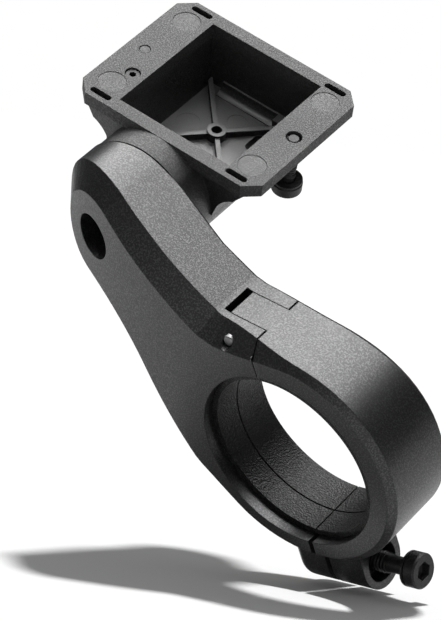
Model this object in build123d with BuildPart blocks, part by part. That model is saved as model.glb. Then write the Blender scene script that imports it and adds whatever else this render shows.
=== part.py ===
from build123d import *
from math import acos, atan2, cos, degrees, hypot, radians, sin, sqrt, tan
import os

os.makedirs("parts", exist_ok=True)

# Handlebar display mount: a one-sided arm with a hinged clamp and a tilting cradle.
# Origin: centre of the handlebar bore at mid-width. +Y runs along the handlebar,
# +Z is square to the cradle's rim, and the arm reaches out towards -X.

# Handlebar clamp
bar_diameter = 31.8
liner_wall = 1.1
liner_width = 12.4
liner_gap = 0.05
liner_seam = 0.3
liner_lean = 4.4
lean_heading = 65.0
liner_set_back = 0.15
liner_groove = 0.3
clamp_width = 15.2
ring_wall = 4.3
ring_shift_x = 0.25
ring_shift_z = 0.35
split_turn = 26.3
split_offset = -0.4
upper_gap = 0.3
lower_gap = 1.0

# Arm and its head
pivot_x = -46.7
pivot_z = 17.5
head_radius = 11.5
head_rear = 9.6
bend_start = 20.0
bend_radius = 75.0
neck_start = 27.0
neck_end = 38.5
crease_inset = 2.7
crease_drop = 1.9
crease_round = 6.0
heel_rise = 2.0
heel_angle = 218.0
heel_round = 10.0
belly_aim_x = 2.0
belly_aim_drop = 7.5
belly_round = 28.0
belly_from_pivot = 7.0
belly_from_foot = 2.2

# Bevel widths round the front and rear faces
bevel_head = 3.3
bevel_arm = 3.6
bevel_hinge = 3.8
bevel_ring = 1.2
bevel_under = 1.8
rear_bevel_head = 0.3
rear_bevel_arm = 0.9
rear_bevel_top = 1.9
bevel_reach = 1.5
bevel_overrun = 2.0
bevel_arm_x = -33.4
bevel_side_z = 8.75

# Hinge between arm and strap
pin_diameter = 2.0
pin_gap = 0.05
pin_from_crease_x = 3.4
pin_from_crease_z = 2.05
pin_front_inset = 1.3
pin_rear_inset = 0.8
tongue_width = 6.1
tongue_side_gap = 0.12
tongue_centre = 0.65
tongue_end = 2.5
tongue_end_gap = 1.25
tongue_depth = 2.9
tongue_floor_gap = 0.35

# Clamp lugs and bolt
bolt_diameter = 3.9
bolt_hole_gap = 0.1
bolt_neck_diameter = 3.1
bolt_head_diameter = 6.3
bolt_head_height = 2.4
bolt_neck_length = 4.6
bolt_thread_length = 7.4
bolt_stand_off = 9.5
bolt_washer_thickness = 0.4
socket_size = 3.0
socket_depth = 1.5
lug_radius = 5.0
lug_arm_length = 7.9
lug_strap_length = 7.2
lug_overlap = 1.35
lug_end_round = 2.0
counterbore_diameter = 7.3
counterbore_depth = 3.4
insert_diameter = 5.6
insert_length = 5.2

# Pivot bolt through the head
pivot_hole_diameter = 8.0
pivot_bolt_diameter = 3.9
pivot_bolt_gap = 0.15
pivot_head_diameter = 7.0
pivot_head_height = 3.0
pivot_washer_diameter = 7.7
pivot_washer_thickness = 0.8
pivot_floor = 4.0
pivot_thread_length = 5.4
pivot_insert_diameter = 6.6
pivot_insert_length = 5.8
friction_outer = 16.0
friction_inner = 10.0
friction_thickness = 1.0
friction_gap = 0.1
seam_gap = 0.15

# Cradle rim and barrel
rim_length = 38.8
rim_width = 31.7
rim_thickness = 2.54
rim_top = 28.83
rim_corner = 2.65
rim_centre_x = -46.1
rim_front_gap = 4.35
barrel_radius = 11.3
wall = 1.6
pocket_length = 23.6
pocket_width = 26.4
pocket_centre_x = -45.6
pocket_rim_front = 2.7
pocket_depth = 13.3
pocket_left_draft = 1.0
pocket_right_draft = 3.2
web_thickness = 2.0
web_edge_inset = 2.0
web_round = 6.0
bench_height = 2.0
bench_width = 2.2
bench_lip = 0.4
bench_length = 14.0
block_size = 1.6
boss_diameter = 3.5
boss_hole_diameter = 1.9
boss_height = 1.7
boss_offset_x = -0.5
boss_offset_y = 2.6
rib_thickness = 0.9
rib_height = 1.3
rib_turn = 48.0
cable_slot_length = 7.0
cable_slot_width = 2.0
cable_slot_x = 5.6
cable_slot_y = 7.3
mark_diameter = 5.0
mark_depth = 0.08
floor_mark_diameter = 4.4
floor_mark_from_pivot = 6.5
floor_mark_before_boss = 0.3
mark_from_end = 4.25
mark_from_edge = 5.35
date_diameter = 3.6
date_behind_boss = 5.6
rim_slot_length = 4.3
rim_slot_width = 1.2
rim_slot_edge = 1.6
rim_slot_end = 4.8
rim_slot_depth = 1.9
rim_hole_depth = 2.1

# Small screws in the rim
rim_pin_diameter = 1.9
rim_pin_x = 3.3
rim_pin_y = 15.7
rim_screw_diameter = 2.6
rim_screw_x = 5.6
rim_screw_y = 9.4
rim_fit = 0.1
rim_screw_inset = 0.3
lock_diameter = 2.7
lock_head_diameter = 5.45
lock_head_height = 2.1
lock_washer_thickness = 0.4
lock_x = 3.1
lock_y = 15.7
lock_stand_off = 7.25
lock_tip_inset = 0.3

# Sizes that follow from the ones above
front_y = -clamp_width / 2
rear_y = clamp_width / 2
liner_inner = bar_diameter / 2
liner_outer = liner_inner + liner_wall
bore_radius = liner_outer + liner_gap
ring_radius = bore_radius + ring_wall
crease_x = -(ring_radius - crease_inset)
crease_z = ring_radius - crease_drop
heel_x = (ring_radius + heel_rise) * cos(radians(heel_angle))
heel_z = (ring_radius + heel_rise) * sin(radians(heel_angle))
pin_x = crease_x + pin_from_crease_x
pin_z = crease_z - pin_from_crease_z
bolt_drop = ring_radius + lug_radius - lug_overlap
reach = 200.0

along_bolt = Vector(cos(radians(split_turn)), 0, sin(radians(split_turn)))


def at_y(y):
    """The upright plane across the handlebar at one station along it."""
    return Plane.XZ.offset(-y)


def at_bolt(u):
    """The plane square to the clamp bolt, u along the bolt from the bore."""
    return Plane(origin=along_bolt * u, x_dir=(0, 1, 0), z_dir=along_bolt)


def clamp_plane(y):
    """An upright plane whose x runs along the clamp bolt."""
    return Plane(origin=(0, y, 0), x_dir=along_bolt, z_dir=(0, -1, 0))


def tangent_point(point, centre, radius, side):
    """Where the line from a point touches a circle, on the left (+1) or right (-1)."""
    dx = point[0] - centre[0]
    dz = point[1] - centre[1]
    angle = atan2(dz, dx) + side * acos(radius / hypot(dx, dz))
    return (centre[0] + radius * cos(angle), centre[1] + radius * sin(angle))


def front_face_y(x):
    """Depth of the arm's front face: flat at the clamp, bent back at the head."""
    run = max(0.0, -x - bend_start)
    return front_y + bend_radius - sqrt(bend_radius ** 2 - run ** 2)


def rear_face_y(x):
    """Depth of the rear face, which steps back to the head."""
    share = min(1.0, max(0.0, (-x - neck_start) / (neck_end - neck_start)))
    return rear_y + share * (head_rear - rear_y)


def blend(x, table):
    """A width between the listed stations, eased at each end of a stretch."""
    if x <= table[0][0]:
        return table[0][1]
    for (x0, w0), (x1, w1) in zip(table, table[1:]):
        if x <= x1:
            share = (x - x0) / (x1 - x0)
            return w0 + (w1 - w0) * share * share * (3 - 2 * share)
    return table[-1][1]


def front_bevel(x, z):
    """Width of the front bevel, widest beside the hinge and slim on the strap."""
    if z < 0 or (x < crease_x and z < bevel_side_z * (1 + x / pivot_x)):
        return blend(x, [(pivot_x, bevel_head), (-ring_radius, bevel_under), (0, bevel_under),
                         (ring_radius, bevel_ring)])
    return blend(x, [(pivot_x, bevel_head), (bevel_arm_x, bevel_arm), (crease_x, bevel_hinge),
                     (0, bevel_ring)])


def rear_bevel(x, z):
    """Width of the rear bevel, widest over the top of the strap."""
    if z < 0 or x < pivot_x:
        return rear_bevel_head
    return blend(x, [(pivot_x, rear_bevel_head), (crease_x, rear_bevel_arm), (0, rear_bevel_top),
                     (ring_radius, rear_bevel_head)])


def bevel_cutter(stations, face, width_at, depth_sign):
    """Three-cornered sections lofted along an edge: what the bevel takes away."""
    with BuildPart() as cutter:
        for point, outward in stations:
            width = width_at(point.X, point.Z)
            inner_x = point.X - width * outward.X
            start_y = face(inner_x)
            end_y = face(point.X) + depth_sign * width
            section = Plane(
                origin=(point.X, 0, point.Z), x_dir=outward, z_dir=outward.cross(Vector(0, 1, 0))
            )
            with BuildSketch(section):
                Polygon(
                    (-width - bevel_reach, start_y - depth_sign * bevel_reach),
                    (bevel_reach, start_y - depth_sign * bevel_reach),
                    (bevel_reach, end_y + depth_sign * bevel_reach),
                    align=None,
                )
        loft(ruled=True)
    return cutter.part


# Side view of the arm and the clamp ring, from which arm and strap are both cut
ring_centre = (ring_shift_x, ring_shift_z)
head_centre = (pivot_x, pivot_z)
crease = (crease_x, crease_z)
heel = (heel_x, heel_z)
head_top = tangent_point(crease, head_centre, head_radius, 1)
ring_top = tangent_point(crease, ring_centre, ring_radius, -1)
ring_under = tangent_point(heel, ring_centre, ring_radius, 1)
belly_aim = (pivot_x + belly_aim_x, pivot_z - belly_aim_drop)

with BuildSketch(Plane.XZ) as side_view:
    with BuildLine():
        Polyline(head_centre, head_top, crease, ring_top, ring_centre, ring_under, heel, belly_aim,
                 head_centre)
    make_face()
    with Locations(head_centre):
        Circle(head_radius)
    with Locations(ring_centre):
        Circle(ring_radius)
    crease_corner = side_view.vertices().sort_by_distance(Vector(crease_x, crease_z, 0))[0]
    fillet(crease_corner, crease_round)
    heel_corner = side_view.vertices().sort_by_distance(Vector(heel_x, heel_z, 0))[0]
    fillet(heel_corner, heel_round)
    belly_corner = side_view.vertices().sort_by_distance(
        Vector(pivot_x + belly_from_pivot, pivot_z - head_radius + belly_from_foot, 0)
    )[0]
    fillet(belly_corner, belly_round)

with BuildPart() as blank:
    with BuildSketch(Plane.XZ):
        add(side_view.sketch_local)
    extrude(amount=reach, both=True)
    with BuildSketch(Plane.XY):
        with BuildLine():
            bend_run = -pivot_x + head_radius + bevel_reach - bend_start
            bend_angle = degrees(atan2(bend_run, sqrt(bend_radius ** 2 - bend_run ** 2)))
            bend = CenterArc((-bend_start, front_y + bend_radius), bend_radius, 270 - bend_angle,
                             bend_angle)
            Line(bend @ 1, (reach, front_y))
            Polyline((reach, front_y), (reach, rear_y), (-neck_start, rear_y),
                     (-neck_end, head_rear), ((bend @ 0).X, head_rear), bend @ 0)
        make_face()
    extrude(amount=reach, both=True, mode=Mode.INTERSECT)

# Stations round the outline, shared out between the arm and the strap
outline = side_view.sketch.face().outer_wire()
station_count = 108
stations = []
for index in range(station_count):
    spot = outline.position_at(index / station_count)
    heading = outline.tangent_at(index / station_count)
    stations.append((spot, heading.cross(Vector(0, 1, 0)).normalized()))


def stations_where(kept):
    """The unbroken run of stations that a test keeps, in order round the outline."""
    flags = [kept(spot) for spot, outward in stations]
    first = next(i for i in range(station_count) if flags[i] and not flags[i - 1])
    turned = stations[first:] + stations[:first]
    return turned[: sum(flags)]


arm_stations = stations_where(lambda spot: spot.dot(along_bolt) < split_offset + bevel_overrun)
strap_stations = stations_where(lambda spot: spot.dot(along_bolt) > split_offset - bevel_overrun)
arm_front_bevel = bevel_cutter(arm_stations, front_face_y, front_bevel, 1)
arm_rear_bevel = bevel_cutter(arm_stations, rear_face_y, rear_bevel, -1)
strap_front_bevel = bevel_cutter(strap_stations, front_face_y, front_bevel, 1)
strap_rear_bevel = bevel_cutter(strap_stations, rear_face_y, rear_bevel, -1)


def lug_section():
    """Round-nosed section of a clamp lug, blended straight up into the ring."""
    with Locations((0, -bolt_drop)):
        Circle(lug_radius)
        Rectangle(2 * lug_radius, bolt_drop - ring_radius + ring_wall / 2 + lug_radius / 2,
                  align=(Align.CENTER, Align.MIN))


def far_side(upper_u, lower_u, direction):
    """Everything on one side of the clamp's split, along or against the bolt."""
    with BuildPart() as side:
        with BuildSketch(clamp_plane(-reach / 2)):
            edge = Align.MIN if direction > 0 else Align.MAX
            with Locations((upper_u, 0)):
                Rectangle(reach, reach, align=(edge, Align.MIN))
            with Locations((lower_u, 0)):
                Rectangle(reach, reach, align=(edge, Align.MAX))
        extrude(amount=-reach)
    return side.part


tongue_slack = 3 * tongue_end
tongue_right = pin_x + 3 * tongue_slack

with BuildPart() as tongue:
    with BuildSketch(at_y(tongue_centre - tongue_width / 2)):
        with BuildLine():
            Polyline((pin_x, pin_z - tongue_depth), (tongue_right, pin_z - tongue_depth),
                     (tongue_right, pin_z + tongue_slack), (pin_x - tongue_end, pin_z + tongue_slack),
                     (pin_x - tongue_end, pin_z - tongue_depth + tongue_end / 2))
            ThreePointArc((pin_x - tongue_end, pin_z - tongue_depth + tongue_end / 2),
                          (pin_x - 0.6 * tongue_end, pin_z - 0.85 * tongue_depth),
                          (pin_x, pin_z - tongue_depth))
        make_face()
    extrude(amount=-tongue_width)
    add(blank.part, mode=Mode.INTERSECT)
    add(far_side(split_offset + 2 * tongue_end, split_offset, 1), mode=Mode.SUBTRACT)

slot_width = tongue_width + 2 * tongue_side_gap
slot_floor_z = pin_z - tongue_depth - tongue_floor_gap
slot_end_x = pin_x - tongue_end - tongue_end_gap

with BuildPart() as slot:
    with BuildSketch(at_y(tongue_centre - slot_width / 2)):
        with Locations((slot_end_x, slot_floor_z)):
            Rectangle(reach, reach, align=(Align.MIN, Align.MIN))
    extrude(amount=-slot_width)

pin_hole_radius = pin_diameter / 2 + pin_gap
pin_start = front_y + pin_front_inset
pin_stop = rear_y - pin_rear_inset
bolt_hole_radius = bolt_diameter / 2 + bolt_hole_gap
lug_outer_u = lug_strap_length
seat_u = lug_outer_u - counterbore_depth
under_head_u = seat_u + bolt_stand_off + bolt_washer_thickness

# Arm's clamp lug, its outer end rounded over
with BuildPart() as arm_lug:
    with BuildSketch(at_bolt(-lug_arm_length)):
        lug_section()
    extrude(amount=lug_arm_length + split_offset - lower_gap / 2)
    fillet(arm_lug.faces().sort_by(Axis(origin=(0, 0, 0), direction=along_bolt))[0].edges(),
           lug_end_round)

# Arm: one aluminium piece with the fixed half of the clamp
head_floor_y = head_rear - pivot_floor
with BuildPart() as arm:
    add(blank.part)
    add(far_side(split_offset - upper_gap / 2, split_offset - lower_gap / 2, 1), mode=Mode.SUBTRACT)
    add(arm_front_bevel, mode=Mode.SUBTRACT)
    add(arm_rear_bevel, mode=Mode.SUBTRACT)
    add(arm_lug.part)
    with BuildSketch(at_y(-reach / 2)):
        Circle(bore_radius)
    extrude(amount=-reach, mode=Mode.SUBTRACT)
    add(slot.part, mode=Mode.SUBTRACT)
    with BuildSketch(at_y(-reach / 2)):
        with Locations((pin_x, pin_z)):
            Circle(pin_hole_radius)
    extrude(amount=-reach, mode=Mode.SUBTRACT)
    with BuildSketch(at_bolt(-reach)):
        with Locations((0, -bolt_drop)):
            Circle(bolt_hole_radius)
    extrude(amount=reach, mode=Mode.SUBTRACT)
    with BuildSketch(at_bolt(-lug_arm_length)):
        with Locations((0, -bolt_drop)):
            Circle(insert_diameter / 2)
    extrude(amount=insert_length, mode=Mode.SUBTRACT)
    with BuildSketch(at_y(head_floor_y)):
        with Locations(head_centre):
            Circle(pivot_hole_diameter / 2)
    extrude(amount=reach, mode=Mode.SUBTRACT)
    with BuildSketch(at_y(head_rear)):
        with Locations(head_centre):
            Circle(pivot_bolt_diameter / 2 + pivot_bolt_gap)
    extrude(amount=pivot_floor, mode=Mode.SUBTRACT)
    with BuildSketch(at_y(head_rear)):
        with Locations(head_centre):
            Circle(friction_outer / 2 + friction_gap)
            Circle(friction_inner / 2 - friction_gap, mode=Mode.SUBTRACT)
    extrude(amount=friction_thickness, mode=Mode.SUBTRACT)
arm.part.label = "arm"
export_step(arm.part, "parts/arm.step")

# Strap: the hinged half of the clamp, with the lug that takes the bolt's head
with BuildPart() as strap:
    add(blank.part)
    add(far_side(split_offset + upper_gap / 2, split_offset + lower_gap / 2, -1), mode=Mode.SUBTRACT)
    add(tongue.part)
    add(strap_front_bevel, mode=Mode.SUBTRACT)
    add(strap_rear_bevel, mode=Mode.SUBTRACT)
    with BuildSketch(at_bolt(lug_outer_u)):
        lug_section()
    extrude(amount=split_offset + lower_gap / 2 - lug_outer_u)
    with BuildSketch(at_y(-reach / 2)):
        Circle(bore_radius)
    extrude(amount=-reach, mode=Mode.SUBTRACT)
    with BuildSketch(at_y(-reach / 2)):
        with Locations((pin_x, pin_z)):
            Circle(pin_hole_radius)
    extrude(amount=-reach, mode=Mode.SUBTRACT)
    with BuildSketch(at_bolt(0)):
        with Locations((0, -bolt_drop)):
            Circle(bolt_hole_radius)
    extrude(amount=reach, mode=Mode.SUBTRACT)
    with BuildSketch(at_bolt(seat_u)):
        with Locations((0, -bolt_drop)):
            Circle(counterbore_diameter / 2)
    extrude(amount=reach, mode=Mode.SUBTRACT)
strap.part.label = "strap"
export_step(strap.part, "parts/strap.step")

# Hinge pin: a plain steel dowel pressed through the arm's two ears
with BuildPart() as hinge_pin:
    with BuildSketch(at_y(pin_start)):
        with Locations((pin_x, pin_z)):
            Circle(pin_diameter / 2)
    extrude(amount=pin_start - pin_stop)
    chamfer(hinge_pin.edges().filter_by(GeomType.CIRCLE), pin_diameter / 8)
hinge_pin.part.label = "hinge_pin"
export_step(hinge_pin.part, "parts/hinge_pin.step")

# Liner halves: thin moulded shells between the clamp and the bar, ends leaning together
lean = tan(radians(liner_lean))
lean_x = lean * cos(radians(lean_heading))
lean_z = lean * sin(radians(lean_heading))
liner_start = front_y + liner_set_back + liner_outer * lean
liner_planes = [
    Plane(origin=(0, liner_start, 0), z_dir=(lean_x, 1, lean_z)),
    Plane(origin=(0, liner_start + liner_width, 0), z_dir=(-lean_x, -1, -lean_z)),
]


def liner_half(direction):
    """One half of the liner, cut at the clamp's split and between the leaning planes."""
    edge_u = split_offset + direction * liner_seam / 2
    with BuildPart() as half:
        with BuildSketch(at_y(-clamp_width)):
            Circle(liner_outer)
            Circle(liner_inner, mode=Mode.SUBTRACT)
        extrude(amount=-2 * clamp_width)
        with BuildSketch(at_y(liner_start + liner_width / 2 - liner_groove / 2)):
            Circle(liner_inner + liner_groove)
        extrude(amount=-liner_groove, mode=Mode.SUBTRACT)
        for plane in liner_planes:
            split(bisect_by=plane, keep=Keep.TOP)
        add(far_side(edge_u, edge_u, -direction), mode=Mode.SUBTRACT)
    return half.part


with BuildPart() as arm_liner:
    add(liner_half(-1))
arm_liner.part.label = "arm_liner"
export_step(arm_liner.part, "parts/arm_liner.step")

with BuildPart() as strap_liner:
    add(liner_half(1))
strap_liner.part.label = "strap_liner"
export_step(strap_liner.part, "parts/strap_liner.step")

# Clamp bolt: captive socket-head screw with a slim neck, backed out of its seat
with BuildPart() as clamp_bolt:
    with BuildSketch(at_bolt(under_head_u)):
        with Locations((0, -bolt_drop)):
            Circle(bolt_head_diameter / 2)
    extrude(amount=bolt_head_height)
    chamfer(clamp_bolt.edges().filter_by(GeomType.CIRCLE), bolt_head_height / 8)
    with BuildSketch(at_bolt(under_head_u)):
        with Locations((0, -bolt_drop)):
            Circle(bolt_neck_diameter / 2)
    extrude(amount=-bolt_neck_length)
    with BuildSketch(at_bolt(under_head_u - bolt_neck_length)):
        with Locations((0, -bolt_drop)):
            Circle(bolt_diameter / 2)
    extrude(amount=-bolt_thread_length)
    tip_edge = clamp_bolt.edges().filter_by(GeomType.CIRCLE).sort_by(SortBy.DISTANCE)[0]
    chamfer(tip_edge, bolt_diameter / 10)
    with BuildSketch(at_bolt(under_head_u + bolt_head_height)):
        with Locations((0, -bolt_drop)):
            RegularPolygon(socket_size / 2, 6, major_radius=False)
    extrude(amount=-socket_depth, mode=Mode.SUBTRACT)
clamp_bolt.part.label = "clamp_bolt"
export_step(clamp_bolt.part, "parts/clamp_bolt.step")

# Washer that travels under the clamp bolt's head
with BuildPart() as clamp_washer:
    with BuildSketch(at_bolt(under_head_u - bolt_washer_thickness)):
        with Locations((0, -bolt_drop)):
            Circle(bolt_head_diameter / 2)
            Circle(bolt_neck_diameter / 2 + bolt_hole_gap / 2, mode=Mode.SUBTRACT)
    extrude(amount=bolt_washer_thickness)
clamp_washer.part.label = "clamp_washer"
export_step(clamp_washer.part, "parts/clamp_washer.step")

# Threaded steel insert in the arm's lug
with BuildPart() as lug_insert:
    with BuildSketch(at_bolt(-lug_arm_length)):
        with Locations((0, -bolt_drop)):
            Circle(insert_diameter / 2)
            Circle(bolt_hole_radius, mode=Mode.SUBTRACT)
    extrude(amount=insert_length)
lug_insert.part.label = "lug_insert"
export_step(lug_insert.part, "parts/lug_insert.step")

# Pivot washer, bolt, friction ring and insert, along the cradle's tilt axis
with BuildPart() as pivot_washer:
    with BuildSketch(at_y(head_floor_y)):
        with Locations(head_centre):
            Circle(pivot_washer_diameter / 2)
            Circle(pivot_bolt_diameter / 2 + pivot_bolt_gap, mode=Mode.SUBTRACT)
    extrude(amount=pivot_washer_thickness)
pivot_washer.part.label = "pivot_washer"
export_step(pivot_washer.part, "parts/pivot_washer.step")

barrel_start = head_rear + seam_gap
under_pivot_head_y = head_floor_y - pivot_washer_thickness
pivot_stop = barrel_start + pivot_thread_length
with BuildPart() as pivot_bolt:
    with BuildSketch(at_y(under_pivot_head_y)):
        with Locations(head_centre):
            Circle(pivot_head_diameter / 2)
    extrude(amount=pivot_head_height)
    chamfer(pivot_bolt.edges().filter_by(GeomType.CIRCLE).sort_by(Axis.Y)[0], pivot_head_height / 8)
    with BuildSketch(at_y(under_pivot_head_y)):
        with Locations(head_centre):
            Circle(pivot_bolt_diameter / 2)
    extrude(amount=under_pivot_head_y - pivot_stop)
    with BuildSketch(at_y(under_pivot_head_y - pivot_head_height)):
        with Locations(head_centre):
            RegularPolygon(socket_size / 2, 6, major_radius=False)
    extrude(amount=-socket_depth, mode=Mode.SUBTRACT)
pivot_bolt.part.label = "pivot_bolt"
export_step(pivot_bolt.part, "parts/pivot_bolt.step")

with BuildPart() as friction_ring:
    with BuildSketch(at_y(head_rear)):
        with Locations(head_centre):
            Circle(friction_outer / 2)
            Circle(friction_inner / 2, mode=Mode.SUBTRACT)
    extrude(amount=friction_thickness)
friction_ring.part.label = "friction_ring"
export_step(friction_ring.part, "parts/friction_ring.step")

with BuildPart() as pivot_insert:
    with BuildSketch(at_y(barrel_start)):
        with Locations(head_centre):
            Circle(pivot_insert_diameter / 2)
            Circle(pivot_bolt_diameter / 2 + pivot_bolt_gap / 2, mode=Mode.SUBTRACT)
    extrude(amount=-pivot_insert_length)
pivot_insert.part.label = "pivot_insert"
export_step(pivot_insert.part, "parts/pivot_insert.step")

# Cradle: barrel, pocket and rim moulded in one piece of plastic
rim_front = barrel_start + rim_front_gap
rim_rear = rim_front + rim_width
rim_centre_y = (rim_front + rim_rear) / 2
rim_left = rim_centre_x - rim_length / 2
rim_right = rim_centre_x + rim_length / 2
rim_under = rim_top - rim_thickness
pocket_front = rim_front + pocket_rim_front
pocket_rear = pocket_front + pocket_width
pocket_left = pocket_centre_x - pocket_length / 2
pocket_right = pocket_centre_x + pocket_length / 2
pocket_floor = rim_top - pocket_depth
floor_left = pocket_left + pocket_left_draft
floor_right = pocket_right - pocket_right_draft
barrel_stop = pocket_rear + wall
boss_x = pivot_x + boss_offset_x
boss_y = rim_centre_y + boss_offset_y
flare_left = rim_left + web_edge_inset
flare_right = rim_right - web_edge_inset
rim_pin_centre = (rim_left + rim_pin_x, rim_front + rim_pin_y)
rim_screw_centre = (rim_left + rim_screw_x, rim_front + rim_screw_y)
lock_centre = (rim_right - lock_x, rim_front + lock_y)
rim_hole_floor = rim_top - rim_hole_depth
bench_top = pocket_floor + bench_height
bench_cove = bench_width - bench_lip
floor_mark_centre = (pivot_x - floor_mark_from_pivot, boss_y - floor_mark_before_boss)


def pocket_side(z, side):
    """Inner face of the pocket's left (-1) or right (+1) wall at a height."""
    share = (rim_top - z) / pocket_depth
    if side < 0:
        return pocket_left + pocket_left_draft * share
    return pocket_right - pocket_right_draft * share


def pocket_section(low_z, high_z, thickness):
    """Section of the pocket between two heights, with the walls' thickness added."""
    Polygon((pocket_side(low_z, -1) - thickness, low_z), (pocket_side(low_z, 1) + thickness, low_z),
            (pocket_side(high_z, 1) + thickness, high_z),
            (pocket_side(high_z, -1) - thickness, high_z), align=None)


with BuildPart() as cradle:
    with BuildSketch(at_y(barrel_start)):
        with Locations(head_centre):
            Circle(barrel_radius)
    extrude(amount=barrel_start - barrel_stop)
    with BuildSketch(at_y(pocket_front - wall)):
        pocket_section(pocket_floor + wall, rim_under + wall / 2, wall)
    extrude(amount=-(pocket_width + 2 * wall))
    for web_y in (pocket_front - wall, barrel_stop - web_thickness):
        with BuildSketch(at_y(web_y)):
            Polygon((flare_left, rim_under + wall / 2), (flare_left, rim_under),
                    (pivot_x - barrel_radius, pivot_z), (pivot_x + barrel_radius, pivot_z),
                    (flare_right, rim_under), (flare_right, rim_under + wall / 2), align=None)
            with Locations((flare_left, pivot_z), (flare_right, pivot_z)):
                Circle(web_round, mode=Mode.SUBTRACT)
        extrude(amount=-web_thickness)
    with BuildSketch(Plane.XY.offset(rim_under)):
        with Locations((rim_centre_x, rim_centre_y)):
            rim = Rectangle(rim_length, rim_width)
        chamfer(rim.vertices(), rim_corner)
    extrude(amount=rim_thickness)
    with BuildSketch(at_y(pocket_front)):
        pocket_section(pocket_floor, rim_top + wall, 0)
    extrude(amount=-pocket_width, mode=Mode.SUBTRACT)
    with BuildSketch(Plane.YZ.offset(pivot_x - bench_length / 2)):
        with BuildLine():
            Line((pocket_rear - bench_width, pocket_floor), (pocket_rear + wall / 2, pocket_floor))
            Line((pocket_rear + wall / 2, pocket_floor), (pocket_rear + wall / 2, bench_top))
            Line((pocket_rear + wall / 2, bench_top), (pocket_rear - bench_lip, bench_top))
            JernArc((pocket_rear - bench_lip, bench_top), (0, -1), bench_cove, -90)
            Line((pocket_rear - bench_lip - bench_cove, bench_top - bench_cove),
                 (pocket_rear - bench_width, pocket_floor))
        make_face()
    extrude(amount=bench_length)
    with BuildSketch(Plane.XY.offset(pocket_floor)):
        with Locations((pivot_x + bench_length / 2, pocket_rear)):
            Rectangle(block_size, bench_width, align=(Align.MAX, Align.MAX))
    extrude(amount=bench_height)
    with BuildSketch(Plane.XY.offset(pocket_floor)):
        with Locations((boss_x, boss_y)):
            Circle(boss_diameter / 2)
    extrude(amount=boss_height)
    rib_reach = floor_right - floor_left
    with BuildSketch(Plane.XY.offset(pocket_floor)):
        for turn in (rib_turn, -rib_turn):
            with Locations(Location((boss_x, boss_y), turn)):
                Rectangle(2 * rib_reach, rib_thickness)
        with Locations(((floor_left + floor_right) / 2, (pocket_front + pocket_rear) / 2)):
            Rectangle(floor_right - floor_left, pocket_width, mode=Mode.INTERSECT)
    extrude(amount=rib_height)
    with BuildSketch(Plane.XY.offset(pocket_floor + boss_height)):
        with Locations((boss_x, boss_y)):
            Circle(boss_hole_diameter / 2)
    extrude(amount=-pocket_floor / 2, mode=Mode.SUBTRACT)
    with BuildSketch(Plane.XY.offset(pocket_floor)):
        with Locations((pivot_x + cable_slot_x, rim_centre_y + cable_slot_y)):
            SlotOverall(cable_slot_length, cable_slot_width, rotation=90)
    extrude(amount=-pocket_floor, mode=Mode.SUBTRACT)
    with BuildSketch(Plane.XY.offset(pocket_floor)):
        with Locations((pivot_x, boss_y + date_behind_boss)):
            Circle(date_diameter / 2)
        with Locations(floor_mark_centre):
            Circle(floor_mark_diameter / 2)
    extrude(amount=-mark_depth, mode=Mode.SUBTRACT)
    with BuildSketch(Plane.XY.offset(rim_top)):
        with Locations((rim_left + rim_slot_end, rim_front + rim_slot_edge),
                       (rim_right - rim_slot_end, rim_front + rim_slot_edge),
                       (rim_left + rim_slot_end, rim_rear - rim_slot_edge),
                       (rim_right - rim_slot_end, rim_rear - rim_slot_edge)):
            SlotOverall(rim_slot_length, rim_slot_width)
    extrude(amount=-rim_slot_depth, mode=Mode.SUBTRACT)
    with BuildSketch(Plane.XY.offset(rim_top)):
        with Locations(rim_pin_centre):
            Circle(rim_pin_diameter / 2 + rim_fit)
        with Locations(rim_screw_centre):
            Circle(rim_screw_diameter / 2 + rim_fit)
    extrude(amount=-rim_hole_depth, mode=Mode.SUBTRACT)
    with BuildSketch(Plane.XY.offset(rim_top)):
        with Locations(lock_centre):
            Circle(lock_diameter / 2 + rim_fit)
    extrude(amount=-2 * rim_thickness, mode=Mode.SUBTRACT)
    with BuildSketch(Plane.XY.offset(rim_top)):
        with Locations((rim_left + mark_from_end, rim_front + mark_from_edge),
                       (rim_right - mark_from_end, rim_front + mark_from_edge),
                       (rim_left + mark_from_end, rim_rear - mark_from_edge),
                       (rim_right - mark_from_end, rim_rear - mark_from_edge)):
            Circle(mark_diameter / 2)
    extrude(amount=-mark_depth, mode=Mode.SUBTRACT)
    with BuildSketch(at_y(barrel_start)):
        with Locations(head_centre):
            Circle(pivot_insert_diameter / 2)
    extrude(amount=-pivot_insert_length, mode=Mode.SUBTRACT)
cradle.part.label = "cradle"
export_step(cradle.part, "parts/cradle.step")

# Rim pin and rim screw: small steel fasteners let into the rim
with BuildPart() as rim_pin:
    with BuildSketch(Plane.XY.offset(rim_hole_floor)):
        with Locations(rim_pin_centre):
            Circle(rim_pin_diameter / 2)
    extrude(amount=rim_hole_depth - rim_fit)
rim_pin.part.label = "rim_pin"
export_step(rim_pin.part, "parts/rim_pin.step")

with BuildPart() as rim_screw:
    with BuildSketch(Plane.XY.offset(rim_hole_floor)):
        with Locations(rim_screw_centre):
            Circle(rim_screw_diameter / 2)
    extrude(amount=rim_hole_depth - rim_screw_inset)
    with BuildSketch(Plane.XY.offset(rim_top - rim_screw_inset)):
        with Locations(rim_screw_centre):
            RegularPolygon(rim_screw_diameter / 4, 6)
    extrude(amount=-rim_hole_depth / 2, mode=Mode.SUBTRACT)
rim_screw.part.label = "rim_screw"
export_step(rim_screw.part, "parts/rim_screw.step")

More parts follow.
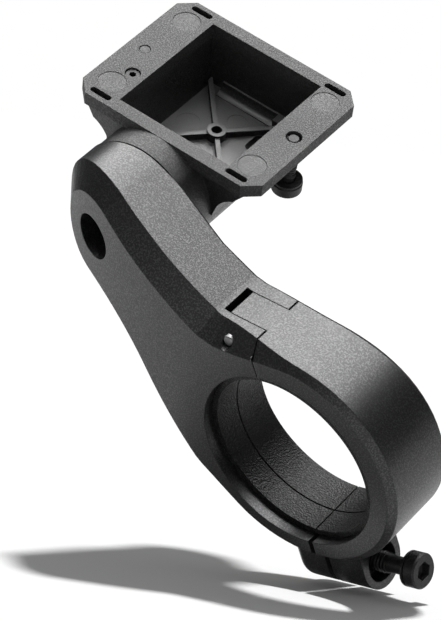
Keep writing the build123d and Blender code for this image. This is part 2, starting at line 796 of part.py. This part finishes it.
# Lock screw: hangs under the rim, its tip just below the rim's face
under_lock_head_z = rim_under - lock_stand_off - lock_washer_thickness
with BuildPart() as lock_screw:
    with BuildSketch(Plane.XY.offset(under_lock_head_z)):
        with Locations(lock_centre):
            Circle(lock_head_diameter / 2)
    extrude(amount=-lock_head_height)
    chamfer(lock_screw.edges().filter_by(GeomType.CIRCLE), lock_head_height / 8)
    with BuildSketch(Plane.XY.offset(under_lock_head_z)):
        with Locations(lock_centre):
            Circle(lock_diameter / 2)
    extrude(amount=rim_top - lock_tip_inset - under_lock_head_z)
    with BuildSketch(Plane.XY.offset(under_lock_head_z - lock_head_height)):
        with Locations(lock_centre):
            RegularPolygon(socket_size / 2, 6, major_radius=False)
    extrude(amount=lock_head_height / 2, mode=Mode.SUBTRACT)
lock_screw.part.label = "lock_screw"
export_step(lock_screw.part, "parts/lock_screw.step")

with BuildPart() as lock_washer:
    with BuildSketch(Plane.XY.offset(under_lock_head_z)):
        with Locations(lock_centre):
            Circle(lock_head_diameter / 2 - rim_fit)
            Circle(lock_diameter / 2 + rim_fit / 2, mode=Mode.SUBTRACT)
    extrude(amount=lock_washer_thickness)
lock_washer.part.label = "lock_washer"
export_step(lock_washer.part, "parts/lock_washer.step")
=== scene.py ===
import math

import bmesh
import bpy
from mathutils import Matrix, Vector


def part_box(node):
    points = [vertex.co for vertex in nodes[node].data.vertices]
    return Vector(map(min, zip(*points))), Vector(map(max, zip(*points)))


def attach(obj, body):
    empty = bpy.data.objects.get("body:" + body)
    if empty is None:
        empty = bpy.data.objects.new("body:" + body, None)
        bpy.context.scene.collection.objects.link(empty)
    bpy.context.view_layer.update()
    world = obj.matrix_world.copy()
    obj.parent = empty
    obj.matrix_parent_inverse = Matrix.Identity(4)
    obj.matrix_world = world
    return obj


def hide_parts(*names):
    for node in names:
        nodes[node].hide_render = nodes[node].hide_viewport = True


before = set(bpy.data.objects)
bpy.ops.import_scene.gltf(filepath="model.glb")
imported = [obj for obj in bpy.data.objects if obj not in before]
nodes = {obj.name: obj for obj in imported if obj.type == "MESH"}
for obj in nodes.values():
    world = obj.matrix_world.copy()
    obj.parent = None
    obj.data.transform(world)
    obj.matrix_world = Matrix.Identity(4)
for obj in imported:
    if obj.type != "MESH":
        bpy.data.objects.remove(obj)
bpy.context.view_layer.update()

# ---------------------------------------------------------------------------------------
# Camera. The mount is seen from above, a little to its right, with a long lens, so that
# the rim, the front face and the open ring all show at once.
# ---------------------------------------------------------------------------------------
camera_place = Vector((0.14928, -0.27622, 0.36346))
camera_right = Vector((0.79156553, 0.60418768, 0.09154924))
camera_up = Vector((-0.49486046, 0.5458855, 0.67610809))
camera_back = Vector((0.35852078, -0.58048796, 0.73109273))
camera = bpy.data.objects.new("camera", bpy.data.cameras.new("camera"))
bpy.context.scene.collection.objects.link(camera)
camera.matrix_world = Matrix.Translation(camera_place) @ Matrix(
    (camera_right, camera_up, camera_back)
).transposed().to_4x4()
camera.data.sensor_width = 36.0
camera.data.lens = 166.1
camera.data.clip_start = 0.01
camera.data.clip_end = 20.0
bpy.context.scene.camera = camera
bpy.context.scene.view_settings.view_transform = "Standard"

# ---------------------------------------------------------------------------------------
# Room. The photograph's shadow shows the mount standing aslant over a floor that the
# camera skims, under a small light right overhead. The floor is clear from below.
# ---------------------------------------------------------------------------------------
floor_up = Vector((-0.3868, 0.5583, 0.7339)).normalized()
floor_drop = 0.0270
floor_half = 6.0
floor_turn = floor_up.to_track_quat("Z", "Y").to_matrix().to_4x4()
floor_mesh = bpy.data.meshes.new("floor")
floor_mesh.from_pydata(
    [(-floor_half, -floor_half, -floor_drop), (floor_half, -floor_half, -floor_drop),
     (floor_half, floor_half, -floor_drop), (-floor_half, floor_half, -floor_drop)],
    [], [(0, 1, 2, 3)],
)
floor_mesh.transform(floor_turn)
floor = bpy.data.objects.new("floor", floor_mesh)
bpy.context.scene.collection.objects.link(floor)
floor_paint = bpy.data.materials.new("floor_paint")
floor_paint.use_nodes = True
floor_nodes = floor_paint.node_tree.nodes
floor_links = floor_paint.node_tree.links
floor_shader = floor_nodes["Principled BSDF"]
floor_shader.inputs["Base Color"].default_value = (0.93, 0.93, 0.93, 1.0)
floor_shader.inputs["Roughness"].default_value = 1.0
floor_shader.inputs["Specular IOR Level"].default_value = 0.0
floor_side = floor_nodes.new("ShaderNodeNewGeometry")
floor_clear = floor_nodes.new("ShaderNodeBsdfTransparent")
floor_mix = floor_nodes.new("ShaderNodeMixShader")
floor_links.new(floor_side.outputs["Backfacing"], floor_mix.inputs["Fac"])
floor_links.new(floor_shader.outputs["BSDF"], floor_mix.inputs[1])
floor_links.new(floor_clear.outputs["BSDF"], floor_mix.inputs[2])
floor_links.new(floor_mix.outputs["Shader"], floor_nodes["Material Output"].inputs["Surface"])
floor_mesh.materials.append(floor_paint)

world = bpy.data.worlds.new("room")
bpy.context.scene.world = world
world.use_nodes = True
room_nodes = world.node_tree.nodes
room_links = world.node_tree.links
room_light = room_nodes["Background"]
room_way = room_nodes.new("ShaderNodeTexCoord")
room_height = room_nodes.new("ShaderNodeVectorMath")
room_height.operation = "DOT_PRODUCT"
room_height.inputs[1].default_value = floor_up
# In reflections the room is dark but for a bright patch overhead, given by the cosine of
# the angle from the floor's normal. Rough faces get an even fill, and the camera sees white.
patch_edge_outer = 0.74
patch_edge_inner = 0.82
patch_strength = 8.7
dark_strength = 0.05
fill_strength = 0.26
seen_strength = 1.0
room_fade = room_nodes.new("ShaderNodeMapRange")
room_fade.interpolation_type = "SMOOTHSTEP"
room_fade.inputs["From Min"].default_value = patch_edge_outer
room_fade.inputs["From Max"].default_value = patch_edge_inner
room_fade.inputs["To Min"].default_value = dark_strength
room_fade.inputs["To Max"].default_value = patch_strength
room_path = room_nodes.new("ShaderNodeLightPath")
room_soft = room_nodes.new("ShaderNodeMix")
room_soft.inputs["A"].default_value = fill_strength
room_seen = room_nodes.new("ShaderNodeMix")
room_seen.inputs["B"].default_value = seen_strength
room_links.new(room_way.outputs["Generated"], room_height.inputs[0])
room_links.new(room_height.outputs["Value"], room_fade.inputs["Value"])
room_links.new(room_path.outputs["Is Glossy Ray"], room_soft.inputs["Factor"])
room_links.new(room_fade.outputs["Result"], room_soft.inputs["B"])
room_links.new(room_path.outputs["Is Camera Ray"], room_seen.inputs["Factor"])
room_links.new(room_soft.outputs["Result"], room_seen.inputs["A"])
room_links.new(room_seen.outputs["Result"], room_light.inputs["Strength"])
room_light.inputs["Color"].default_value = (1.0, 1.0, 1.0, 1.0)

# The lamp casts the shadow. It isn't mirrored, because the bright patch stands for it there.
towards_lamp = Vector((-0.363, 0.633, 0.684))
lamp = bpy.data.objects.new("overhead", bpy.data.lights.new("overhead", "SUN"))
bpy.context.scene.collection.objects.link(lamp)
lamp.data.energy = 2.75
lamp.data.angle = math.radians(5.0)
lamp.rotation_mode = "QUATERNION"
lamp.rotation_quaternion = towards_lamp.to_track_quat("Z", "Y")
lamp.visible_glossy = False

# ---------------------------------------------------------------------------------------
# Arm and strap. Machined aluminium under a black satin coat whose fine grain shines more
# and less from speck to speck. Every edge is broken by a hair's breadth.
# ---------------------------------------------------------------------------------------
blotch_size = 0.009
blotch_roughness = 0.12
bevel_samples = 6
grain = bpy.data.node_groups.new("grain", "ShaderNodeTree")
grain.interface.new_socket(name="Grain Size", in_out="INPUT", socket_type="NodeSocketFloat")
grain.interface.new_socket(name="Blotch Size", in_out="INPUT", socket_type="NodeSocketFloat")
grain.interface.new_socket(name="Height", in_out="OUTPUT", socket_type="NodeSocketFloat")
grain.interface.new_socket(name="Speck", in_out="OUTPUT", socket_type="NodeSocketFloat")
grain.interface.new_socket(name="Blotch", in_out="OUTPUT", socket_type="NodeSocketFloat")
grain_in = grain.nodes.new("NodeGroupInput")
grain_out = grain.nodes.new("NodeGroupOutput")
grain_where = grain.nodes.new("ShaderNodeTexCoord")
grain_rate = grain.nodes.new("ShaderNodeMath")
grain_rate.operation = "DIVIDE"
grain_rate.inputs[0].default_value = 1.0
blotch_rate = grain.nodes.new("ShaderNodeMath")
blotch_rate.operation = "DIVIDE"
blotch_rate.inputs[0].default_value = 1.0
fine = grain.nodes.new("ShaderNodeTexNoise")
fine.inputs["Detail"].default_value = 3.0
fine.inputs["Roughness"].default_value = 0.65
pebble = grain.nodes.new("ShaderNodeTexVoronoi")
pebble.feature = "F1"
wide = grain.nodes.new("ShaderNodeTexNoise")
wide.inputs["Detail"].default_value = 4.0
mixed = grain.nodes.new("ShaderNodeMath")
mixed.operation = "SUBTRACT"
speck_ramp = grain.nodes.new("ShaderNodeMapRange")
speck_ramp.inputs["From Min"].default_value = 0.48
speck_ramp.inputs["From Max"].default_value = 0.6
grain.links.new(grain_in.outputs["Grain Size"], grain_rate.inputs[1])
grain.links.new(grain_in.outputs["Blotch Size"], blotch_rate.inputs[1])
for texture, rate in ((fine, grain_rate), (pebble, grain_rate), (wide, blotch_rate)):
    grain.links.new(grain_where.outputs["Object"], texture.inputs["Vector"])
    grain.links.new(rate.outputs[0], texture.inputs["Scale"])
grain.links.new(fine.outputs["Fac"], mixed.inputs[0])
grain.links.new(pebble.outputs["Distance"], mixed.inputs[1])
grain.links.new(mixed.outputs[0], grain_out.inputs["Height"])
grain.links.new(fine.outputs["Fac"], speck_ramp.inputs["Value"])
grain.links.new(speck_ramp.outputs["Result"], grain_out.inputs["Speck"])
grain.links.new(wide.outputs["Fac"], grain_out.inputs["Blotch"])


def coated(name, dark, light, rough_low, rough_high, grain_size, bump_height, edge):
    """A grained coat: colour and roughness between two values by speck, edges eased."""
    material = bpy.data.materials.new(name)
    material.use_nodes = True
    tree = material.node_tree
    shader = tree.nodes["Principled BSDF"]
    texture = tree.nodes.new("ShaderNodeGroup")
    texture.node_tree = grain
    texture.inputs["Grain Size"].default_value = grain_size
    texture.inputs["Blotch Size"].default_value = blotch_size
    tint = tree.nodes.new("ShaderNodeMix")
    tint.data_type = "RGBA"
    tint.inputs["A"].default_value = (*dark, 1.0)
    tint.inputs["B"].default_value = (*light, 1.0)
    gloss = tree.nodes.new("ShaderNodeMapRange")
    gloss.inputs["To Min"].default_value = rough_high
    gloss.inputs["To Max"].default_value = rough_low
    uneven = tree.nodes.new("ShaderNodeMath")
    uneven.operation = "MULTIPLY_ADD"
    uneven.inputs[1].default_value = blotch_roughness
    bump = tree.nodes.new("ShaderNodeBump")
    bump.inputs["Strength"].default_value = 1.0
    bump.inputs["Distance"].default_value = bump_height
    eased = tree.nodes.new("ShaderNodeBevel")
    eased.samples = bevel_samples
    eased.inputs["Radius"].default_value = edge
    tree.links.new(texture.outputs["Speck"], tint.inputs["Factor"])
    tree.links.new(texture.outputs["Speck"], gloss.inputs["Value"])
    tree.links.new(texture.outputs["Blotch"], uneven.inputs[0])
    tree.links.new(gloss.outputs["Result"], uneven.inputs[2])
    tree.links.new(texture.outputs["Height"], bump.inputs["Height"])
    tree.links.new(eased.outputs["Normal"], bump.inputs["Normal"])
    tree.links.new(tint.outputs["Result"], shader.inputs["Base Color"])
    tree.links.new(uneven.outputs[0], shader.inputs["Roughness"])
    tree.links.new(bump.outputs["Normal"], shader.inputs["Normal"])
    return material


def dress(material, *names):
    """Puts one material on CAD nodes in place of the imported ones."""
    for name in names:
        nodes[name].data.materials.clear()
        nodes[name].data.materials.append(material)


arm_coat = coated(
    "arm_coat", dark=(0.004, 0.004, 0.0042), light=(0.022, 0.022, 0.023),
    rough_low=0.24, rough_high=0.33, grain_size=0.00028, bump_height=0.00001, edge=0.00022,
)
arm_nodes = arm_coat.node_tree.nodes
arm_sheen = arm_nodes.new("ShaderNodeMapRange")
arm_sheen.inputs["To Min"].default_value = 0.42
arm_sheen.inputs["To Max"].default_value = 0.62
arm_coat.node_tree.links.new(arm_nodes["Group"].outputs["Speck"], arm_sheen.inputs["Value"])
arm_coat.node_tree.links.new(
    arm_sheen.outputs["Result"], arm_nodes["Principled BSDF"].inputs["Specular IOR Level"])
dress(arm_coat, "arm", "strap")

# ---------------------------------------------------------------------------------------
# Cradle. One moulding in black plastic, finely grained on its rim and smoother under it.
# It turns on the arm's head and its rim takes the display.
# ---------------------------------------------------------------------------------------
cradle_plastic = coated(
    "cradle_plastic", dark=(0.010, 0.010, 0.010), light=(0.03, 0.03, 0.03),
    rough_low=0.44, rough_high=0.62, grain_size=0.00028, bump_height=0.00003, edge=0.00016,
)
cradle_nodes = cradle_plastic.node_tree.nodes
cradle_links = cradle_plastic.node_tree.links
cradle_shader = cradle_nodes["Principled BSDF"]
cradle_rough = cradle_shader.inputs["Roughness"].links[0].from_socket
cradle_colour = cradle_shader.inputs["Base Color"].links[0].from_socket
cradle_way = cradle_nodes.new("ShaderNodeTexCoord")

# Everything under the rim is smoother than the rim itself.
cradle_low, cradle_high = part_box("cradle")
under_rim_from = cradle_high.z - 0.0030
under_rim_to = cradle_high.z - 0.0026
under_rim_smoother = -0.22
cradle_height = cradle_nodes.new("ShaderNodeSeparateXYZ")
under_part = cradle_nodes.new("ShaderNodeMapRange")
under_part.inputs["From Min"].default_value = under_rim_from
under_part.inputs["From Max"].default_value = under_rim_to
under_part.inputs["To Min"].default_value = under_rim_smoother
under_part.inputs["To Max"].default_value = 0.0
under_rough = cradle_nodes.new("ShaderNodeMath")
under_rough.operation = "ADD"
cradle_links.new(cradle_way.outputs["Object"], cradle_height.inputs[0])
cradle_links.new(cradle_height.outputs["Z"], under_part.inputs["Value"])
cradle_links.new(cradle_rough, under_rough.inputs[0])
cradle_links.new(under_part.outputs["Result"], under_rough.inputs[1])
cradle_links.new(under_rough.outputs[0], cradle_shader.inputs["Roughness"])

# Four round marks on the rim's top are lighter than the plastic round them. They lie
# alike about the rim's middle, so that one mark, folded over both ways, gives all four.
rim_half_width = 0.01585
mark_out = Vector((0.01515, 0.0105, 0))
mark_radius = 0.00240
mark_edge = 0.00006
mark_low_from = cradle_high.z - 0.0010
mark_low_to = cradle_high.z - 0.0008
mark_colour = (0.075, 0.075, 0.075, 1.0)
rim_middle = Vector((
    (cradle_low.x + cradle_high.x) / 2, cradle_high.y - rim_half_width, 0,
))
mark_from = cradle_nodes.new("ShaderNodeVectorMath")
mark_from.operation = "SUBTRACT"
mark_from.inputs[1].default_value = rim_middle
mark_fold = cradle_nodes.new("ShaderNodeVectorMath")
mark_fold.operation = "ABSOLUTE"
mark_flat = cradle_nodes.new("ShaderNodeVectorMath")
mark_flat.operation = "MULTIPLY"
mark_flat.inputs[1].default_value = (1.0, 1.0, 0.0)
mark_far = cradle_nodes.new("ShaderNodeVectorMath")
mark_far.operation = "DISTANCE"
mark_far.inputs[1].default_value = mark_out
mark_part = cradle_nodes.new("ShaderNodeMapRange")
mark_part.inputs["From Min"].default_value = mark_radius + mark_edge
mark_part.inputs["From Max"].default_value = mark_radius
mark_tint = cradle_nodes.new("ShaderNodeMix")
mark_tint.data_type = "RGBA"
mark_tint.inputs["B"].default_value = mark_colour
cradle_links.new(cradle_way.outputs["Object"], mark_from.inputs[0])
cradle_links.new(mark_from.outputs[0], mark_fold.inputs[0])
cradle_links.new(mark_fold.outputs[0], mark_flat.inputs[0])
cradle_links.new(mark_flat.outputs[0], mark_far.inputs[0])
mark_height = cradle_nodes.new("ShaderNodeMapRange")
mark_height.inputs["From Min"].default_value = mark_low_from
mark_height.inputs["From Max"].default_value = mark_low_to
mark_top = cradle_nodes.new("ShaderNodeMath")
mark_top.operation = "MULTIPLY"
cradle_links.new(mark_far.outputs["Value"], mark_part.inputs["Value"])
cradle_links.new(cradle_height.outputs["Z"], mark_height.inputs["Value"])
cradle_links.new(mark_part.outputs["Result"], mark_top.inputs[0])
cradle_links.new(mark_height.outputs["Result"], mark_top.inputs[1])
cradle_links.new(mark_top.outputs[0], mark_tint.inputs["Factor"])
cradle_links.new(cradle_colour, mark_tint.inputs["A"])

# Painted light: the pocket's floor, all that lies low down and faces up, is tinted lighter
# than its walls, standing in for the light that the walls keep off it.
pocket_up_from = 0.75
pocket_up_to = 0.9
pocket_low_from = cradle_high.z - 0.0096
pocket_low_to = cradle_high.z - 0.0106
# Colour of the painted light on the pocket's floor.
pocket_painted_light_colour = (0.13, 0.13, 0.13, 1.0)
pocket_way = cradle_nodes.new("ShaderNodeSeparateXYZ")
pocket_up = cradle_nodes.new("ShaderNodeMapRange")
pocket_up.inputs["From Min"].default_value = pocket_up_from
pocket_up.inputs["From Max"].default_value = pocket_up_to
pocket_depth = cradle_nodes.new("ShaderNodeMapRange")
pocket_depth.inputs["From Min"].default_value = pocket_low_from
pocket_depth.inputs["From Max"].default_value = pocket_low_to
pocket_painted_light_part = cradle_nodes.new("ShaderNodeMath")
pocket_painted_light_part.operation = "MULTIPLY"
pocket_painted_light_tint = cradle_nodes.new("ShaderNodeMix")
pocket_painted_light_tint.data_type = "RGBA"
pocket_painted_light_tint.inputs["B"].default_value = pocket_painted_light_colour
cradle_links.new(cradle_way.outputs["Normal"], pocket_way.inputs[0])
cradle_links.new(pocket_way.outputs["Z"], pocket_up.inputs["Value"])
cradle_links.new(cradle_height.outputs["Z"], pocket_depth.inputs["Value"])
cradle_links.new(pocket_up.outputs["Result"], pocket_painted_light_part.inputs[0])
cradle_links.new(pocket_depth.outputs["Result"], pocket_painted_light_part.inputs[1])
cradle_links.new(pocket_painted_light_part.outputs[0], pocket_painted_light_tint.inputs["Factor"])
cradle_links.new(mark_tint.outputs["Result"], pocket_painted_light_tint.inputs["A"])
cradle_links.new(pocket_painted_light_tint.outputs["Result"], cradle_shader.inputs["Base Color"])
dress(cradle_plastic, "cradle")

# ---------------------------------------------------------------------------------------
# Liner halves and friction ring. Black plastic with a coarser grain than the cradle's,
# so that the liner grips the handlebar without marking it.
# ---------------------------------------------------------------------------------------
liner_plastic = coated(
    "liner_plastic", dark=(0.004, 0.004, 0.004), light=(0.02, 0.02, 0.02),
    rough_low=0.22, rough_high=0.42, grain_size=0.00034, bump_height=0.00007, edge=0.0001,
)
liner_plastic.node_tree.nodes["Principled BSDF"].inputs["IOR"].default_value = 1.27
dress(liner_plastic, "arm_liner", "strap_liner", "friction_ring")

# ---------------------------------------------------------------------------------------
# Hinge pin and rim pin. Steel dowels with an uneven sheen and slightly eased edges. The
# one in the rim is darker.
# ---------------------------------------------------------------------------------------
bright_steel = bpy.data.materials.new("bright_steel")
bright_steel.use_nodes = True
steel_nodes = bright_steel.node_tree.nodes
steel_links = bright_steel.node_tree.links
steel_shader = steel_nodes["Principled BSDF"]
steel_shader.inputs["Metallic"].default_value = 1.0
steel_texture = steel_nodes.new("ShaderNodeGroup")
steel_texture.node_tree = grain
steel_texture.inputs["Grain Size"].default_value = 0.0002
steel_texture.inputs["Blotch Size"].default_value = 0.0008
steel_tint = steel_nodes.new("ShaderNodeMix")
steel_tint.data_type = "RGBA"
steel_tint.inputs["A"].default_value = (0.12, 0.12, 0.125, 1.0)
steel_tint.inputs["B"].default_value = (0.3, 0.3, 0.3, 1.0)
steel_gloss = steel_nodes.new("ShaderNodeMapRange")
steel_gloss.inputs["To Min"].default_value = 0.5
steel_gloss.inputs["To Max"].default_value = 0.65
steel_eased = steel_nodes.new("ShaderNodeBevel")
steel_eased.samples = bevel_samples
steel_eased.inputs["Radius"].default_value = 0.0002
steel_links.new(steel_texture.outputs["Blotch"], steel_tint.inputs["Factor"])
steel_links.new(steel_texture.outputs["Speck"], steel_gloss.inputs["Value"])
steel_links.new(steel_tint.outputs["Result"], steel_shader.inputs["Base Color"])
steel_links.new(steel_gloss.outputs["Result"], steel_shader.inputs["Roughness"])
steel_links.new(steel_eased.outputs["Normal"], steel_shader.inputs["Normal"])
dress(bright_steel, "hinge_pin")
rim_steel = bright_steel.copy()
rim_steel.name = "rim_steel"
for node in rim_steel.node_tree.nodes:
    if node.bl_idname == "ShaderNodeMix":
        node.inputs["A"].default_value = (0.018, 0.018, 0.019, 1.0)
        node.inputs["B"].default_value = (0.07, 0.07, 0.07, 1.0)
dress(rim_steel, "rim_pin")

# ---------------------------------------------------------------------------------------
# Washers and the rim's small grub screw. Steel with a black oxide finish, faintly oiled.
# The three larger screws take the same finish.
# ---------------------------------------------------------------------------------------
black_steel = coated(
    "black_steel", dark=(0.011, 0.011, 0.011), light=(0.022, 0.022, 0.022),
    rough_low=0.3, rough_high=0.42, grain_size=0.00022, bump_height=0.000006, edge=0.00014,
)
black_steel.node_tree.nodes["Principled BSDF"].inputs["IOR"].default_value = 1.36
dress(black_steel, "clamp_washer", "lock_washer", "pivot_washer", "rim_screw")

# ---------------------------------------------------------------------------------------
# Screws. Socket-head cap screws in black oxide: the clamp's captive one with its slim
# neck, the pivot's, and the one under the rim. Heads are turned, threads are rolled.
# ---------------------------------------------------------------------------------------
screw_segments = 72
socket_mouth = 1.05
socket_chamfer = 0.0001
coarse_pitch = 0.0007
fine_pitch = 0.0005
thread = bpy.data.node_groups.new("rolled_thread", "GeometryNodeTree")
thread.interface.new_socket(name="Geometry", in_out="OUTPUT", socket_type="NodeSocketGeometry")
thread_inputs = {
    label: thread.interface.new_socket(name=label, in_out="INPUT", socket_type=kind).identifier
    for label, kind in (
        ("Turns", "NodeSocketFloat"), ("Pitch", "NodeSocketFloat"),
        ("Radius", "NodeSocketFloat"), ("Depth", "NodeSocketFloat"),
        ("Finish", "NodeSocketMaterial"),
    )
}
thread_in = thread.nodes.new("NodeGroupInput")
thread_out = thread.nodes.new("NodeGroupOutput")
helix = thread.nodes.new("GeometryNodeCurveSpiral")
helix.inputs["Resolution"].default_value = 40
helix_height = thread.nodes.new("ShaderNodeMath")
helix_height.operation = "MULTIPLY"
crest_profile = thread.nodes.new("GeometryNodeCurvePrimitiveCircle")
crest_profile.inputs["Resolution"].default_value = 3
crest_sweep = thread.nodes.new("GeometryNodeCurveToMesh")
crest_sweep.inputs["Fill Caps"].default_value = True
root_radius = thread.nodes.new("ShaderNodeMath")
root_radius.operation = "SUBTRACT"
thread_real = thread.nodes.new("GeometryNodeRealizeInstances")
thread_finish = thread.nodes.new("GeometryNodeSetMaterial")
thread.links.new(thread_in.outputs["Turns"], helix.inputs["Rotations"])
thread.links.new(thread_in.outputs["Turns"], helix_height.inputs[0])
thread.links.new(thread_in.outputs["Pitch"], helix_height.inputs[1])
thread.links.new(helix_height.outputs[0], helix.inputs["Height"])
thread.links.new(thread_in.outputs["Radius"], root_radius.inputs[0])
thread.links.new(thread_in.outputs["Depth"], root_radius.inputs[1])
thread.links.new(root_radius.outputs[0], helix.inputs["Start Radius"])
thread.links.new(root_radius.outputs[0], helix.inputs["End Radius"])
thread.links.new(thread_in.outputs["Depth"], crest_profile.inputs["Radius"])
thread.links.new(helix.outputs["Curve"], crest_sweep.inputs["Curve"])
thread.links.new(crest_profile.outputs["Curve"], crest_sweep.inputs["Profile Curve"])
thread.links.new(crest_sweep.outputs["Mesh"], thread_real.inputs["Geometry"])
thread.links.new(thread_real.outputs["Geometry"], thread_finish.inputs["Geometry"])
thread.links.new(thread_in.outputs["Finish"], thread_finish.inputs["Material"])
thread.links.new(thread_finish.outputs["Geometry"], thread_out.inputs["Geometry"])


def rolled_thread(turns, pitch, radius, depth):
    """One helical crest standing on z = 0, as a plain mesh."""
    holder = bpy.data.objects.new("thread_holder", bpy.data.meshes.new("thread_holder"))
    bpy.context.scene.collection.objects.link(holder)
    modifier = holder.modifiers.new("thread", "NODES")
    modifier.node_group = thread
    for label, value in (("Turns", turns), ("Pitch", pitch), ("Radius", radius),
                         ("Depth", depth), ("Finish", black_steel)):
        modifier[thread_inputs[label]] = value
    graph = bpy.context.evaluated_depsgraph_get()
    mesh = bpy.data.meshes.new_from_object(holder.evaluated_get(graph))
    bpy.data.objects.remove(holder)
    return mesh


def cap_screw(name, node, body, seat, outwards, turned, socket_across, socket_depth, crests):
    """A screw turned about its axis: rings of (radius, height above the seat), tip first,
    then a hexagon socket in the head, then the thread's crests, each as (height of its
    start, turns, pitch, radius, depth)."""
    around = screw_segments
    drill_cone = socket_across / 6
    steps = [math.tau * k / around for k in range(around)]
    shape = bmesh.new()
    rings = []
    for radius, height in turned:
        rings.append([
            shape.verts.new((radius * math.cos(step), radius * math.sin(step), height))
            for step in steps
        ])
    head_top = turned[-1][1]
    for height, share in ((head_top, socket_mouth), (head_top - socket_chamfer, 1.0),
                          (head_top - socket_depth, 1.0)):
        apothem = share * socket_across / 2
        rings.append([
            shape.verts.new((
                apothem / math.cos(step % (math.pi / 3) - math.pi / 6) * math.cos(step),
                apothem / math.cos(step % (math.pi / 3) - math.pi / 6) * math.sin(step),
                height,
            ))
            for step in steps
        ])
    for lower, upper in zip(rings, rings[1:]):
        for k in range(around):
            shape.faces.new((lower[k], lower[(k + 1) % around],
                             upper[(k + 1) % around], upper[k]))
    tip = shape.verts.new((0, 0, turned[0][1]))
    floor_point = shape.verts.new((0, 0, head_top - socket_depth - drill_cone))
    for k in range(around):
        shape.faces.new((tip, rings[0][(k + 1) % around], rings[0][k]))
        shape.faces.new((floor_point, rings[-1][k], rings[-1][(k + 1) % around]))
    for low, turns, pitch, radius, depth in crests:
        crest = rolled_thread(turns, pitch, radius, depth)
        crest.transform(Matrix.Translation((0, 0, low)))
        shape.from_mesh(crest)
    mesh = bpy.data.meshes.new(name)
    shape.to_mesh(mesh)
    shape.free()
    turn = outwards.normalized().to_track_quat("Z", "Y").to_matrix().to_4x4()
    mesh.transform(Matrix.Translation(seat) @ turn)
    mesh.materials.clear()
    mesh.materials.append(black_steel)
    for face in mesh.polygons:
        face.material_index = 0
    screw = bpy.data.objects.new(name, mesh)
    bpy.context.scene.collection.objects.link(screw)
    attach(screw, body)
    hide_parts(node)


# The clamp's bolt stands backed out of its counterbore, as it does in the photograph. Its
# line is turned from +X towards +Z.
clamp_turn = math.radians(26.3)
clamp_along = Vector((math.cos(clamp_turn), 0, math.sin(clamp_turn)))
clamp_down = Vector((math.sin(clamp_turn), 0, -math.cos(clamp_turn)))
clamp_out = 0.0137
clamp_drop = 0.0250
clamp_seat = clamp_along * clamp_out + clamp_down * clamp_drop
cap_screw(
    "clamp_screw", "clamp_bolt", "clamp_bolt", clamp_seat, clamp_along,
    [(0.0012, -0.012), (0.0016, -0.0116), (0.0016, -0.0048), (0.00155, -0.0046),
     (0.00155, 0.0), (0.00285, 0.0), (0.00315, 0.0003), (0.00315, 0.0021),
     (0.00284, 0.0024)],
    socket_across=0.0030, socket_depth=0.0015,
    crests=[(-0.0116, 9.6, coarse_pitch, 0.00195, 0.00035)],
)

# The pivot's bolt sits deep in the head's side hole, its head towards the front.
pivot_head = 0.003
pivot_low, pivot_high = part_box("pivot_bolt")
pivot_seat = Vector(((pivot_low.x + pivot_high.x) / 2, pivot_low.y + pivot_head,
                     (pivot_low.z + pivot_high.z) / 2))
cap_screw(
    "pivot_screw", "pivot_bolt", "pivot_bolt", pivot_seat, Vector((0, -1, 0)),
    [(0.0012, -0.01035), (0.0016, -0.010), (0.0016, 0.0), (0.0032, 0.0), (0.0035, 0.0003),
     (0.0035, 0.0027), (0.0034, 0.0029), (0.0032, pivot_head)],
    socket_across=0.0030, socket_depth=0.0018,
    crests=[(-0.0099, 11.0, coarse_pitch, 0.00195, 0.00035)],
)

# The screw under the rim hangs head down, its tip in the hole of the rim's right side.
lock_head = 0.0021
lock_tip = 0.0003
lock_low, lock_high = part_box("lock_screw")
lock_seat = Vector(((lock_low.x + lock_high.x) / 2, (lock_low.y + lock_high.y) / 2,
                    lock_low.z + lock_head))
lock_length = lock_high.z - lock_seat.z
cap_screw(
    "rim_lock_screw", "lock_screw", "lock_screw", lock_seat, Vector((0, 0, -1)),
    [(0.0009, -lock_length), (0.00113, lock_tip - lock_length), (0.00113, 0.0),
     (0.00245, 0.0), (0.002725, 0.00028), (0.002725, 0.00185), (0.00266, 0.002),
     (0.0025, lock_head)],
    socket_across=0.0025, socket_depth=0.00105,
    crests=[(lock_tip - lock_length, 17.0, fine_pitch, 0.00135, 0.00024)],
)

# ---------------------------------------------------------------------------------------
# Threaded inserts. Short brass bushes set in the arm's lug and in the barrel, where the
# clamp's bolt and the pivot's bolt screw in.
# ---------------------------------------------------------------------------------------
insert_brass = coated(
    "insert_brass", dark=(0.38, 0.25, 0.09), light=(0.56, 0.4, 0.17),
    rough_low=0.26, rough_high=0.4, grain_size=0.0003, bump_height=0.000008, edge=0.00012,
)
insert_brass.node_tree.nodes["Principled BSDF"].inputs["Metallic"].default_value = 1.0
dress(insert_brass, "lug_insert", "pivot_insert")
